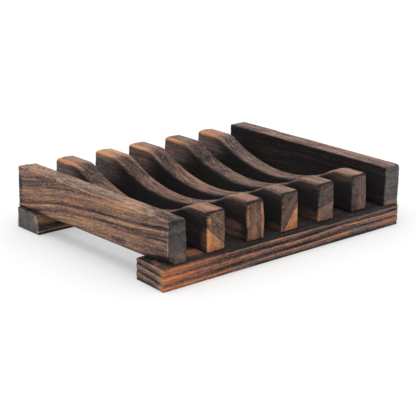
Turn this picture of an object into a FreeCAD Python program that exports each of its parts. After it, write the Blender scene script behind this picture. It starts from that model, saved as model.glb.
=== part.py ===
"""Slatted wooden soap dish: two base rails carry two end bars and five scooped slats.

Millimetres. X runs along the base rails, Y runs back along the bars, Z is up.
The origin is the middle of the footprint, on the floor.
"""
import math
import os

import FreeCAD
import Part
import Sketcher
from FreeCAD import Vector

SIZES = {
    # Base rails, lying flat on the floor
    "rail_height": 8.1,
    "rail_width": 14.1,
    "rail_rounding": 0.6,
    "rear_rail_wane": 4.6,
    # End bars, standing on edge across both rails
    "dish_length": 120.6,
    "end_bar_thickness": 8.6,
    "end_bar_height": 16.0,
    "end_bar_rounding": 0.6,
    # Wane along the left end bar's lower outer arris: at the front end, at the turn and at the rear end
    "wane_width_front": 3.2,
    "wane_height_front": 3.6,
    "wane_run": 12.7,
    "wane_width_turn": 1.2,
    "wane_height_turn": 1.3,
    "wane_width_rear": 0.6,
    "wane_height_rear": 0.6,
    # Slats, standing on edge, with a scooped top
    "slat_thickness": 8.7,
    "slat_height": 15.2,
    "slat_length": 91.6,
    "slat_chamfer": 0.7,
    "slat_front_flat": 8.6,
    "slat_rear_flat": 11.6,
    "slat_waist": 5.7,
    "crest_radius": 10.0,
    # Where the pieces were put by hand: overhangs, set-backs and shifts along the rails
    "front_rail_proud": 3.4,
    "front_rail_short": 2.7,
    "rear_rail_proud": 1.6,
    "rear_rail_short": 1.3,
    "rear_rail_inset": 4.5,
    "slat_setback": 3.8,
    "end_bar_setback": 2.0,
    "end_bar_rear_inset": 3.1,
    "slat_shift_1": 1.05,
    "slat_shift_2": 1.9,
    "slat_shift_3": 0.55,
    "slat_shift_4": 1.4,
    "slat_shift_5": 1.65,
    # Brad nails of flat wire, driven up through the rails into the bars
    "brad_width": 1.25,
    "brad_thickness": 1.0,
    "brad_length": 16.0,
    "brad_point": 1.6,
    "brad_head_width": 2.0,
    "brad_head_height": 0.8,
    "brad_sink": 0.4,
    "brad_clearance": 0.02,
    "end_brad_inset": 5.4,
}
SLAT_NUMBERS = (1, 2, 3, 4, 5)
# How far the outline of a cut reaches beyond the wood
OVERCUT = 2.0
# Slack in telling whether edges are parallel or level
PARALLEL = 1e-6

# Places along X and Y, as expressions of the sheet's values
LEFT_FACE = "(Sizes.front_rail_proud - Sizes.dish_length) / 2"
RIGHT_FACE = "(Sizes.front_rail_proud + Sizes.dish_length) / 2"
FRONT_FACE = "-(Sizes.slat_setback + Sizes.slat_length) / 2"
REAR_ENDS = "(Sizes.slat_setback + Sizes.slat_length) / 2"
FRONT_RAIL_Y = f"{FRONT_FACE} + Sizes.rail_width / 2"
REAR_RAIL_Y = f"{REAR_ENDS} - Sizes.rear_rail_inset - Sizes.rail_width / 2"
END_BAR_LENGTH = (
    "Sizes.slat_setback + Sizes.slat_length - Sizes.end_bar_setback - Sizes.end_bar_rear_inset"
)
END_BAR_Y = f"{FRONT_FACE} + Sizes.end_bar_setback + ({END_BAR_LENGTH}) / 2"
SLAT_Y = f"{REAR_ENDS} - Sizes.slat_length / 2"
LEFT_BAR_X = f"{LEFT_FACE} + Sizes.end_bar_thickness / 2"
RIGHT_BAR_X = f"{RIGHT_FACE} - Sizes.end_bar_thickness / 2"
LEFT_BRAD_X = f"{LEFT_FACE} + Sizes.end_brad_inset"
RIGHT_BRAD_X = f"{RIGHT_FACE} - Sizes.end_brad_inset"
EVEN_GAP = (
    f"(Sizes.dish_length - 2 * Sizes.end_bar_thickness"
    f" - {len(SLAT_NUMBERS)} * Sizes.slat_thickness) / {len(SLAT_NUMBERS) + 1}"
)
BORE_WIDTH = "Sizes.brad_width + 2 * Sizes.brad_clearance"
BORE_THICKNESS = "Sizes.brad_thickness + 2 * Sizes.brad_clearance"
RECESS_WIDTH = "Sizes.brad_head_width + 2 * Sizes.brad_clearance"
RECESS_DEPTH = "Sizes.brad_sink + Sizes.brad_head_height + Sizes.brad_clearance"
BRAD_DEPTH = "Sizes.brad_sink + Sizes.brad_length + Sizes.brad_clearance - Sizes.rail_height"


def slat_x(number):
    """Middle of a slat along X: even gaps between the bars plus its own shift."""
    return (
        f"{LEFT_FACE} + Sizes.end_bar_thickness + {number} * {EVEN_GAP}"
        f" + {number - 0.5} * Sizes.slat_thickness + Sizes.slat_shift_{number}"
    )


def add_sheet():
    """The driving dimensions, one aliased cell each."""
    table = document.addObject("Spreadsheet::Sheet", "Sizes")
    for row, (alias, size) in enumerate(SIZES.items(), start=1):
        table.set(f"A{row}", alias)
        table.set(f"B{row}", str(size))
        table.setAlias(f"B{row}", alias)
    document.recompute()
    return table


def number_of(expression):
    """What an expression of the sheet comes to."""
    return float(sheet.evalExpression(expression))


def add_body(label, along_x, along_y, height):
    """A body whose own origin is put at the places given as expressions."""
    body = document.addObject("PartDesign::Body", label)
    body.Label = label
    body.setExpression("Placement.Base.x", along_x)
    body.setExpression("Placement.Base.y", along_y)
    body.setExpression("Placement.Base.z", height)
    return body


def add_sketch(body, name, role):
    """A sketch on one of the body's own origin planes."""
    sketch = body.newObject("Sketcher::SketchObject", f"{body.Name}_{name}")
    plane = next(item for item in body.Origin.OriginFeatures if item.Role == role)
    sketch.AttachmentSupport = (plane, [""])
    sketch.MapMode = "FlatFace"
    return sketch


def add_size(sketch, name, expression, kind, *places):
    """A named dimension of the sketch, bound to an expression."""
    index = sketch.addConstraint(Sketcher.Constraint(kind, *places, number_of(expression)))
    sketch.renameConstraint(index, name)
    sketch.setExpression(f"Constraints.{name}", expression)


def add_lines(sketch, points):
    """A closed loop of straight lines through the points."""
    first = sketch.GeometryCount
    for start, end in zip(points, points[1:] + points[:1]):
        sketch.addGeometry(Part.LineSegment(start, end))
    for side in range(len(points)):
        following = first + (side + 1) % len(points)
        sketch.addConstraint(Sketcher.Constraint("Coincident", first + side, 2, following, 1))


def add_rectangle(sketch, width, height):
    """A rectangle standing on the horizontal axis, centred on the vertical one."""
    half = number_of(width) / 2
    top = number_of(height)
    corners = [(-half, 0), (half, 0), (half, top), (-half, top)]
    add_lines(sketch, [Vector(*corner, 0) for corner in corners])
    joins = [
        ("Horizontal", 2),
        ("Vertical", 1),
        ("Vertical", 3),
        ("PointOnObject", 0, 1, -1),
        ("Symmetric", 0, 1, 0, 2, -2),
    ]
    for join in joins:
        sketch.addConstraint(Sketcher.Constraint(*join))
    add_size(sketch, "width", width, "DistanceX", 0, 1, 0, 2)
    add_size(sketch, "height", height, "DistanceY", 1, 1, 1, 2)


def add_scooped_profile(sketch):
    """Side view of a slat: flat ends, rounded crests and one scooped arc, all tangent."""
    end = SIZES["slat_length"] / 2
    top = SIZES["slat_height"]
    crest = SIZES["crest_radius"]
    front = SIZES["slat_front_flat"] - end
    rear = end - SIZES["slat_rear_flat"]
    depth = top - SIZES["slat_waist"]
    reach = (rear - front) / 2
    # Tangent arcs that span the reach and drop by the depth fix the scoop's radius
    radii = (reach**2 + depth**2) / (2 * depth)
    scoop = radii - crest
    lean = math.asin(reach / radii)
    quarter = math.pi / 2
    upright = Vector(0, 0, 1)
    ends = [
        ((-end, 0), (end, 0)),
        ((end, 0), (end, top)),
        ((end, top), (rear, top)),
        ((front, top), (-end, top)),
        ((-end, top), (-end, 0)),
    ]
    for start, finish in ends:
        sketch.addGeometry(Part.LineSegment(Vector(*start, 0), Vector(*finish, 0)))
    bottom, rear_end, rear_flat, front_flat, front_end = range(len(ends))
    rear_circle = Part.Circle(Vector(rear, top - crest, 0), upright, crest)
    rear_crest = sketch.addGeometry(Part.ArcOfCircle(rear_circle, quarter, quarter + lean))
    scoop_circle = Part.Circle(Vector((front + rear) / 2, top - depth + scoop, 0), upright, scoop)
    hollow = sketch.addGeometry(Part.ArcOfCircle(scoop_circle, -quarter - lean, lean - quarter))
    front_circle = Part.Circle(Vector(front, top - crest, 0), upright, crest)
    front_crest = sketch.addGeometry(Part.ArcOfCircle(front_circle, quarter - lean, quarter))
    joins = [
        ("Coincident", bottom, 2, rear_end, 1),
        ("Coincident", rear_end, 2, rear_flat, 1),
        ("Tangent", rear_flat, 2, rear_crest, 1),
        ("Tangent", rear_crest, 2, hollow, 2),
        ("Tangent", hollow, 1, front_crest, 1),
        ("Tangent", front_crest, 2, front_flat, 1),
        ("Coincident", front_flat, 2, front_end, 1),
        ("Coincident", front_end, 2, bottom, 1),
        ("Horizontal", rear_flat),
        ("Vertical", rear_end),
        ("Vertical", front_end),
        ("PointOnObject", bottom, 1, -1),
        ("Symmetric", bottom, 1, bottom, 2, -2),
        ("Equal", rear_crest, front_crest),
    ]
    for join in joins:
        sketch.addConstraint(Sketcher.Constraint(*join))
    add_size(sketch, "length", "Sizes.slat_length", "DistanceX", bottom, 1, bottom, 2)
    add_size(sketch, "height", "Sizes.slat_height", "DistanceY", rear_end, 1, rear_end, 2)
    add_size(sketch, "front_flat", "Sizes.slat_front_flat", "DistanceX", front_flat, 2, front_flat, 1)
    add_size(sketch, "rear_flat", "Sizes.slat_rear_flat", "DistanceX", rear_flat, 2, rear_flat, 1)
    add_size(sketch, "crest_radius", "Sizes.crest_radius", "Radius", rear_crest)
    span = "((Sizes.slat_length - Sizes.slat_front_flat - Sizes.slat_rear_flat) / 2)"
    drop = "(Sizes.slat_height - Sizes.slat_waist)"
    scoop_radius = f"({span}^2 + {drop}^2) / (2 * {drop}) - Sizes.crest_radius"
    add_size(sketch, "scoop_radius", scoop_radius, "Radius", hollow)


def add_pad(body, sketch, length, sides):
    """The sketch drawn out by an expression, to one side or to both."""
    pad = body.newObject("PartDesign::Pad", f"{body.Name}_pad")
    pad.Profile = sketch
    pad.SideType = sides
    pad.setExpression("Length", length)
    document.recompute()
    return pad


def edges_along(shape, direction):
    """Names of the straight edges that run along a direction."""
    names = []
    for index, edge in enumerate(shape.Edges, start=1):
        straight = edge.Curve.TypeId == "Part::GeomLine"
        if straight and edge.tangentAt(edge.FirstParameter).cross(direction).Length < PARALLEL:
            names.append(f"Edge{index}")
    return names


def upper_rim(shape):
    """Names of the edges around a bar's side faces, apart from those at its foot."""
    foot = shape.BoundBox.ZMin
    names = []
    for index, edge in enumerate(shape.Edges, start=1):
        across = edge.BoundBox.XLength > PARALLEL
        if not across and edge.BoundBox.ZMax > foot + PARALLEL:
            names.append(f"Edge{index}")
    return names


def round_edges(body, base, edges, radius):
    """Soften the named edges of a feature by a size of the sheet."""
    fillet = body.newObject("PartDesign::Fillet", f"{body.Name}_{radius}")
    fillet.Base = (base, edges)
    fillet.setExpression("Radius", f"Sizes.{radius}")
    document.recompute()
    return fillet


def chamfer_edges(body, base, edges, size):
    """Take the named edges of a feature off at 45 degrees, by a size of the sheet."""
    chamfer = body.newObject("PartDesign::Chamfer", f"{body.Name}_{size}")
    chamfer.Base = (base, edges)
    chamfer.setExpression("Size", f"Sizes.{size}")
    document.recompute()


def add_bores(body, name, places, width, depth):
    """Oblong holes cut up into the underside of a body, as thick as the brads' wire."""
    sketch = add_sketch(body, name, "XY_Plane")
    for index, (along_x, along_y) in enumerate(places):
        first = sketch.GeometryCount
        left = f"{along_x} - ({width}) / 2"
        front = f"{along_y} - ({BORE_THICKNESS}) / 2"
        low = Vector(number_of(left), number_of(front), 0)
        wide = Vector(number_of(width), 0, 0)
        deep = Vector(0, number_of(BORE_THICKNESS), 0)
        add_lines(sketch, [low, low + wide, low + wide + deep, low + deep])
        for side, turn in enumerate(("Horizontal", "Vertical", "Horizontal", "Vertical")):
            sketch.addConstraint(Sketcher.Constraint(turn, first + side))
        add_size(sketch, f"left_{index}", left, "DistanceX", -1, 1, first, 1)
        add_size(sketch, f"front_{index}", front, "DistanceY", -1, 1, first, 1)
        add_size(sketch, f"width_{index}", width, "DistanceX", first, 1, first, 2)
        add_size(sketch, f"thickness_{index}", BORE_THICKNESS, "DistanceY", first + 1, 1, first + 1, 2)
    uncut = body.Shape.Volume
    pocket = body.newObject("PartDesign::Pocket", f"{body.Name}_{name}_cut")
    pocket.Profile = sketch
    pocket.Reversed = True
    pocket.setExpression("Length", depth)
    document.recompute()
    if body.Shape.Volume >= uncut:
        raise RuntimeError(f"{pocket.Name} cuts nothing")


def front_top_edge(shape):
    """Name of the long edge at the front of the top face."""
    box = shape.BoundBox
    corner = Vector(box.Center.x, box.YMin, box.ZMax)
    distances = [edge.CenterOfMass.distanceToPoint(corner) for edge in shape.Edges]
    return f"Edge{distances.index(min(distances)) + 1}"


def add_rail(label, proud, short, along_y, wane):
    """A base rail along X, bored for the brads, with wane on its front top arris if named."""
    left_end = f"{LEFT_FACE} - {proud}"
    rail = add_body(label, left_end, along_y, "0")
    section = add_sketch(rail, "section", "YZ_Plane")
    add_rectangle(section, "Sizes.rail_width", "Sizes.rail_height")
    blank = add_pad(rail, section, f"Sizes.dish_length + {proud} - {short}", "One side")
    if wane:
        blank = round_edges(rail, blank, [front_top_edge(blank.Shape)], wane)
    round_edges(rail, blank, edges_along(blank.Shape, Vector(1, 0, 0)), "rail_rounding")
    places = [(f"{place} - ({left_end})", "0") for place in BRAD_PLACES]
    add_bores(rail, "brad_bores", places, BORE_WIDTH, "Sizes.rail_height")
    add_bores(rail, "head_recesses", places, RECESS_WIDTH, RECESS_DEPTH)
    return rail


def bore_bar(bar, brad_x, along_y):
    """Blind holes for the two brads that hold a bar, at a place across its thickness."""
    places = [(brad_x, f"{rail_y} - ({along_y})") for rail_y in (FRONT_RAIL_Y, REAR_RAIL_Y)]
    add_bores(bar, "brad_bores", places, BORE_WIDTH, BRAD_DEPTH)


def add_end_bar(label, along_x, brad_x):
    """A plain straight bar on edge, with softened arrises."""
    bar = add_body(label, along_x, END_BAR_Y, "Sizes.rail_height")
    profile = add_sketch(bar, "profile", "YZ_Plane")
    add_rectangle(profile, END_BAR_LENGTH, "Sizes.end_bar_height")
    blank = add_pad(bar, profile, "Sizes.end_bar_thickness", "Symmetric")
    round_edges(bar, blank, edges_along(blank.Shape, Vector(0, 1, 0)), "end_bar_rounding")
    bore_bar(bar, f"{brad_x} - ({along_x})", END_BAR_Y)
    return bar


def add_wane_section(bar, name, width, height, distance):
    """What the wane takes off the lower outer corner of a bar, at one place along it."""
    face = "-Sizes.end_bar_thickness / 2"
    outer = number_of(face)
    foot = number_of(f"{face} + {width}")
    rise = number_of(height)
    beyond = outer - OVERCUT
    sketch = add_sketch(bar, name, "XZ_Plane")
    sketch.setExpression("AttachmentOffset.Base.z", distance)
    corners = [(foot, 0), (outer, rise), (beyond, rise), (beyond, -OVERCUT), (foot, -OVERCUT)]
    add_lines(sketch, [Vector(*corner, 0) for corner in corners])
    joins = [
        ("PointOnObject", 0, 1, -1),
        ("Horizontal", 1),
        ("Vertical", 2),
        ("Horizontal", 3),
        ("Vertical", 4),
    ]
    for join in joins:
        sketch.addConstraint(Sketcher.Constraint(*join))
    add_size(sketch, "foot", f"{face} + {width}", "DistanceX", -1, 1, 0, 1)
    add_size(sketch, "face", face, "DistanceX", -1, 1, 1, 1)
    add_size(sketch, "rise", height, "DistanceY", -1, 1, 1, 1)
    add_size(sketch, "beyond", f"{face} - {OVERCUT}", "DistanceX", -1, 1, 3, 1)
    add_size(sketch, "below", f"-{OVERCUT}", "DistanceY", -1, 1, 3, 1)
    return sketch


def cut_wane(bar):
    """The natural edge of the log, left along the lower outer arris of a bar."""
    half = f"({END_BAR_LENGTH}) / 2"
    places = {"front": half, "turn": f"{half} - Sizes.wane_run", "rear": f"-{half}"}
    front, *others = [
        add_wane_section(bar, f"wane_{name}", f"Sizes.wane_width_{name}", f"Sizes.wane_height_{name}", place)
        for name, place in places.items()
    ]
    loft = bar.newObject("PartDesign::SubtractiveLoft", f"{bar.Name}_wane")
    loft.Profile = front
    loft.Sections = others
    loft.Ruled = True
    document.recompute()


def add_slat(number):
    """A scooped slat on edge, with its upper arrises taken off."""
    slat = add_body(f"slat_{number}", slat_x(number), SLAT_Y, "Sizes.rail_height")
    profile = add_sketch(slat, "profile", "YZ_Plane")
    add_scooped_profile(profile)
    blank = add_pad(slat, profile, "Sizes.slat_thickness", "Symmetric")
    chamfer_edges(slat, blank, upper_rim(blank.Shape), "slat_chamfer")
    bore_bar(slat, "0", SLAT_Y)
    return slat


def add_brad(label, along_x, along_y):
    """One nail of flat wire, head down: a T outline with a chisel point."""
    brad = add_body(label, along_x, along_y, "Sizes.brad_sink")
    outline = add_sketch(brad, "outline", "XZ_Plane")
    head = SIZES["brad_head_width"] / 2
    shank = SIZES["brad_width"] / 2
    step = SIZES["brad_head_height"]
    tip = SIZES["brad_length"]
    shoulder = tip - SIZES["brad_point"]
    right = [(head, 0), (head, step), (shank, step), (shank, shoulder)]
    left = [(-across, height) for across, height in reversed(right)]
    add_lines(outline, [Vector(*corner, 0) for corner in [*right, (0, tip), *left]])
    joins = [
        ("Vertical", 0),
        ("Horizontal", 1),
        ("Vertical", 2),
        ("PointOnObject", 8, 1, -1),
        ("PointOnObject", 4, 1, -2),
        ("Symmetric", 8, 1, 8, 2, -2),
        ("Symmetric", 0, 2, 7, 1, -2),
        ("Symmetric", 1, 2, 6, 1, -2),
        ("Symmetric", 2, 2, 5, 1, -2),
    ]
    for join in joins:
        outline.addConstraint(Sketcher.Constraint(*join))
    add_size(outline, "head_width", "Sizes.brad_head_width", "DistanceX", 8, 1, 8, 2)
    add_size(outline, "head_height", "Sizes.brad_head_height", "DistanceY", 0, 1, 0, 2)
    add_size(outline, "width", "Sizes.brad_width", "DistanceX", 5, 1, 2, 2)
    add_size(outline, "point", "Sizes.brad_point", "DistanceY", 3, 1, 3, 2)
    add_size(outline, "length", "Sizes.brad_length", "DistanceY", 0, 1, 3, 2)
    add_pad(brad, outline, "Sizes.brad_thickness", "Symmetric")
    return brad


def add_brads(label, along_y):
    """The row of nails in one rail, one under each bar."""
    row = document.addObject("Part::Compound", label)
    row.Label = label
    row.Links = [
        add_brad(f"{label}_{index}", place, along_y) for index, place in enumerate(BRAD_PLACES, start=1)
    ]
    document.recompute()
    return row


def check_document():
    """Stop on any object that failed to compute or has no valid shape."""
    for item in document.Objects:
        if "Invalid" in item.State or "Error" in item.State:
            raise RuntimeError(f"{item.Label} failed: {item.State}")
    for node in nodes:
        if node.Shape.isNull() or not node.Shape.isValid():
            raise RuntimeError(f"{node.Label} has no valid shape")


BRAD_PLACES = (LEFT_BRAD_X, *[slat_x(number) for number in SLAT_NUMBERS], RIGHT_BRAD_X)
document = FreeCAD.newDocument("SoapDish")
sheet = add_sheet()

front_overhangs = ("Sizes.front_rail_proud", "Sizes.front_rail_short")
front_rail = add_rail("front_rail", *front_overhangs, FRONT_RAIL_Y, None)
rear_overhangs = ("Sizes.rear_rail_proud", "Sizes.rear_rail_short")
rear_rail = add_rail("rear_rail", *rear_overhangs, REAR_RAIL_Y, "rear_rail_wane")
left_end_bar = add_end_bar("left_end_bar", LEFT_BAR_X, LEFT_BRAD_X)
cut_wane(left_end_bar)
right_end_bar = add_end_bar("right_end_bar", RIGHT_BAR_X, RIGHT_BRAD_X)
slats = [add_slat(number) for number in SLAT_NUMBERS]
front_brads = add_brads("front_brads", FRONT_RAIL_Y)
rear_brads = add_brads("rear_brads", REAR_RAIL_Y)

nodes = [front_rail, rear_rail, left_end_bar, right_end_bar, *slats, front_brads, rear_brads]
document.recompute()
check_document()
os.makedirs("parts", exist_ok=True)
for node in nodes:
    node.Shape.exportStep(f"parts/{node.Label}.step")
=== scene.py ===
"""Looks of a slatted soap dish in charred, brushed and oiled wood.

Every wooden piece is a closed grid round its CAD node's box. Its arrises are rounded, its wane or scoop is
cut, and the lines of its growth rings stand out of it as real relief. The mesh carries each point's place in
the log and a tone from coal to bare wood, so that the colours and the relief follow the same lines.
"""
import math
from dataclasses import dataclass, field

import bpy
import numpy as np
from mathutils import Matrix, Vector


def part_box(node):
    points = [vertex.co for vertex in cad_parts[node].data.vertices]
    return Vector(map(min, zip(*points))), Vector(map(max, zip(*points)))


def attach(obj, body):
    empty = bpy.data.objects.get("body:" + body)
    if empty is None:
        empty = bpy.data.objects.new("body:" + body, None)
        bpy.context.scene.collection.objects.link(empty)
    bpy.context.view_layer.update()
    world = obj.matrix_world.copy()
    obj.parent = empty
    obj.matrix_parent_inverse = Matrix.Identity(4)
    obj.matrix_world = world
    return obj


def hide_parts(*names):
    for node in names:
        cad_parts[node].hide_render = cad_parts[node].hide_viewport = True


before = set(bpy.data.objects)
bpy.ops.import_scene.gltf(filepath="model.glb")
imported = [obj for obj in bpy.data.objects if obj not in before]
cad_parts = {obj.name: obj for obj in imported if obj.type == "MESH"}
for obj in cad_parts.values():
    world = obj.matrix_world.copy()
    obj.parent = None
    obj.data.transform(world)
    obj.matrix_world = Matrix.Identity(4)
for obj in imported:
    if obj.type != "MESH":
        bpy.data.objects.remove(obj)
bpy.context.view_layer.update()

# Lengths are millimetres in the row frame until a mesh is made
MM = 0.001
X, Y, Z = 0, 1, 2
FACES = {"left": (X, -1), "right": (X, 1), "front": (Y, -1), "rear": (Y, 1), "bottom": (Z, -1), "top": (Z, 1)}

# Grid: stops are this far apart along the grain and across it
STEP_ALONG = 0.7
STEP_ACROSS = 0.3
ROUNDING_ANGLES = (45.0, 30.0, 15.0, 0.0)

# Scoop of the slats
FRONT_FLAT = 8.6
REAR_FLAT = 11.6
WAIST = 5.7
CREST_RADIUS = 10.0

# Wane of the left end bar's lower outer corner: at its front end, where it turns, and at its rear end
WANE_RUN = 12.7
WANE_WIDTHS = (3.2, 1.2, 0.4)
WANE_HEIGHTS = (3.6, 1.3, 0.4)
WANE_BLEND = 0.12
# Wane of the rear rail's front upper arris
RAIL_WANE = 4.6
# How far the front rail's left end is out of square, and the length over which that runs out
SKEW = 1.1
SKEW_RUN = 8.0

# Torn feet of the end bars where they hang over a rail: where that starts and how far they drop. The left end
# bar does so at its rear end, along Y, and the right end bar on its outer side, along X.
LEFT_OVERHANG = (89.0, 0.6)
RIGHT_OVERHANG = (7.0, 1.0)
OVERHANG_RUN = 1.0
OVERHANG_HEIGHT = 4.0
# Length of the right end bar's torn foot from its front end
TORN_LENGTH = 12.0

# Hue of wood that has no other: 0 is golden, 1 is red
USUAL_HUE = 0.35

# Rounding of the arrises: its least share and how much it varies, where a soft arris begins and is complete,
# in shares of the way across, and the height over which the foot's rounding changes to the usual one
LEAST_ROUNDING = 0.7
ROUNDING_CHANGE = 0.5
SOFT_EDGES = (0.4, 0.9)
FOOT_HEIGHT = 2.0
# Relief: where a ring line begins to fall off and ends, in shares of its width, the most that lines add up
# to, and the depths of the brushed grooves and of the waves in the surface
LINE_EDGES = (0.25, 0.8)
MOST_RELIEF = 0.5
GROOVE_DEPTH = 0.12
WAVE_DEPTH = 0.08
# Wear: how far any arris is rubbed in places, the noise at which that begins and is complete, and the blend
# at the ends of a worn stretch
USUAL_WEAR = 0.2
WEAR_EDGES = (0.55, 0.8)
WEAR_BLEND = 0.05
# Chips: the noise at which they begin and are deepest, and the heights between which they set in
CHIP_EDGES = (0.6, 0.9)
CHIP_HEIGHTS = (0.5, 2.0)
# Blend at the limit of bare wood, and the share of a patch's radii inside which it is complete
BARE_BLEND = 0.15
PATCH_CORE = 0.3
# Noise of the shapes, in cells per millimetre
STRAY_ACROSS = 0.16
STRAY_ALONG = 0.045
ROUNDING_CELLS = 0.12
GROOVE_CELLS = (1.1, 0.4, 0.03)
WAVE_CELLS = 0.11
WEAR_CELLS = 0.22
CHIP_CELLS = 0.45
# Factors and masks that scramble the whole-numbered points of the noise
CELL_FACTORS = (73856093, 19349663, 83492791)
SEED_FACTOR = 2654435761
SCRAMBLE_FACTOR = 1274126177
SCRAMBLE_MASK = 0x7FFFFFFF
VALUE_MASK = 0xFFFF

SLAT_COUNT = 5
# Brads: inset from the dish's ends, and the small dents around their heads in the rails' soles
END_BRAD_INSET = 5.4
DENT_RADIUS = 1.5
DENT_DEPTH = 0.45
# In radii of a dent: its flat middle, the span of its own grid stops, and how near the usual stops come
DENT_FLAT = 0.55
DENT_SPAN = 1.2
DENT_CLEAR = 1.4
# Number of a dent's own grid stops
DENT_STOPS = 9


@dataclass
class Wood:
    """Figure and finish of one wooden piece. Tones go from 0, coal, to 1, bare wood."""

    grain: int                      # axis of the grain
    tilt: float                     # rise of the ring lines towards +X or +Y, seen on an end, in degrees
    bands: tuple                    # ring lines: (distance from the middle, width, change of tone)
    tones: dict                     # tone of each face
    pith: float = 50.0              # distance of the pith from the middle of the piece
    drift: float = 0.0              # rise of the rings along the grain, as a slope
    sweep: tuple = (0.0, 0.0)       # fall of the rings at the far end, and the share of the length before it
    wander: float = 0.8             # how far the rings stray
    jag: float = 0.5                # how far the fibres fray a ring line
    relief: float = 0.12            # depth of the lines on the long faces
    end_relief: float = 0.2         # the same on the ends
    rounding: float = 0.5
    soft: tuple = ()                # arrises that are rounder: (faces, radius)
    chips: float = 0.35             # depth of the chips along the arrises
    fading: float = 0.5             # how far the lines fade in places
    streaks: float = 0.8            # how much the long streaks differ in tone
    flecks: float = 0.45            # how much the short flecks differ in tone
    hue: dict = field(default_factory=dict)      # face: 0, golden, to 1, red, else USUAL_HUE
    figure: dict = field(default_factory=dict)   # face: how plainly the lines show, else 1
    fibres: dict = field(default_factory=dict)   # face: how much the fibres differ in tone, else 1
    ash_and_sheen: dict = field(default_factory=dict)      # face: how grey its char is, and on some slat faces its painted sheen
    worn: tuple = ()                # arrises rubbed bare, or burnt: (faces, strength, start, end)
    bare: tuple = (-99.0, 0.0)      # distance from the middle below which the tone changes, and by how much
    patches: tuple = ()             # (centre in shares of the box, radii, change of tone, change of ash and sheen); some paint light
    brads: tuple = ()               # places of brads along the grain
    seats: tuple = ("bottom",)      # faces that lie flat on something
    foot: float = 0.35              # rounding at the foot of a bar, as a share of the rest
    reach: tuple = (0.0, 0.0)       # how far the near and the far end stand beyond the CAD node
    deeper: float = 0.0             # how far the rear side stands beyond the CAD node


def smoothstep(low, high, value):
    """0 below low, 1 above high, and a smooth rise between them."""
    share = np.clip((value - low) / (high - low), 0.0, 1.0)
    return share * share * (3.0 - 2.0 * share)


def lattice_noise(points, seed):
    """Smooth noise from 0 to 1 that has a random value at each whole-numbered point."""
    cell = np.floor(points).astype(np.int64)
    share = points - cell
    share = share * share * (3.0 - 2.0 * share)
    total = np.zeros(len(points))
    for corner in np.ndindex(2, 2, 2):
        at = cell + corner
        mixed = np.bitwise_xor.reduce(at * CELL_FACTORS, axis=1) ^ seed * SEED_FACTOR
        mixed = (mixed ^ (mixed >> 13)) * SCRAMBLE_FACTOR & SCRAMBLE_MASK
        value = ((mixed ^ (mixed >> 16)) & VALUE_MASK) / VALUE_MASK
        weight = np.where(corner, share, 1.0 - share).prod(axis=1)
        total += weight * value
    return total


def side_stops(length, rounding, step, marks=()):
    """Stops along one side of a box, closer together on its rounded ends and around the marks."""
    ends = [rounding * (1.0 - math.tan(math.radians(angle))) for angle in ROUNDING_ANGLES]
    count = max(2, round((length - 2.0 * rounding) / step))
    inner = np.linspace(rounding, length - rounding, count + 1)
    around = np.linspace(-DENT_SPAN, DENT_SPAN, DENT_STOPS)
    near = [mark + DENT_RADIUS * share for mark in marks for share in around]
    clear = [stop for stop in inner if all(abs(stop - mark) > DENT_CLEAR * DENT_RADIUS for mark in marks)]
    found = np.concatenate([ends, length - np.array(ends), clear, near])
    return np.unique(np.round(found, 4))


def box_grid(stops):
    """Points and outward quads of a closed box whose faces are cut at the stops along X, Y and Z."""
    shape = tuple(len(side) for side in stops)
    place = np.indices(shape)
    skin = np.zeros(shape, bool)
    for axis in range(3):
        skin |= (place[axis] == 0) | (place[axis] == shape[axis] - 1)
    number = np.full(shape, -1)
    number[skin] = np.arange(skin.sum())
    points = np.stack([stops[axis][place[axis][skin]] for axis in range(3)], axis=1)
    quads = []
    for axis in range(3):
        for side in (0, -1):
            face = np.take(number, side, axis=axis)
            corners = (face[:-1, :-1], face[1:, :-1], face[1:, 1:], face[:-1, 1:])
            loop = np.stack(corners, axis=-1).reshape(-1, 4)
            outward = (side == -1) != (axis == Y)
            quads.append(loop if outward else loop[:, ::-1])
    return points, np.concatenate(quads)


def scoop_top(y, length, height):
    """Height of a scooped slat's upper side at y from its front end: flat, crest, scoop, crest and flat."""
    half_span = (length - FRONT_FLAT - REAR_FLAT) / 2.0
    depth = height - WAIST
    both_radii = (half_span ** 2 + depth ** 2) / (2.0 * depth)
    scoop_radius = both_radii - CREST_RADIUS
    change = half_span * scoop_radius / both_radii
    off = np.minimum(np.abs(y - FRONT_FLAT - half_span), half_span)
    scoop = WAIST + scoop_radius - np.sqrt(scoop_radius ** 2 - np.minimum(off, change) ** 2)
    crest = height - CREST_RADIUS + np.sqrt(CREST_RADIUS ** 2 - (half_span - off) ** 2 * (off >= change))
    return np.where(off < change, scoop, crest)


def lower_to(points, top, height, rounding):
    """Brings a box's points down under a top that varies. The rounded zones stay as thick as they are."""
    z = points[:, Z]
    middle = rounding + (z - rounding) * (top - 2.0 * rounding) / (height - 2.0 * rounding)
    lowered = np.where(z <= rounding, z, np.where(z >= height - rounding, z - height + top, middle))
    return np.column_stack([points[:, X], points[:, Y], lowered])


def arris_radius(wood, points, high, seed):
    """Radius of the nearest arris: uneven, larger at a soft one and changed at the foot of a bar."""
    uneven = lattice_noise(points * ROUNDING_CELLS, seed + 5)
    radius = wood.rounding * (LEAST_ROUNDING + ROUNDING_CHANGE * uneven)
    for faces, larger in wood.soft:
        softness = np.ones(len(points))
        for name in faces.split():
            axis, sign = FACES[name]
            softness *= smoothstep(*SOFT_EDGES, 0.5 + sign * (points[:, axis] / high[:, axis] - 0.5))
        radius += (larger - radius) * softness
    if wood.seats == ("bottom",):
        radius *= wood.foot + (1.0 - wood.foot) * smoothstep(0.0, FOOT_HEIGHT, points[:, Z])
    return radius


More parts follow.
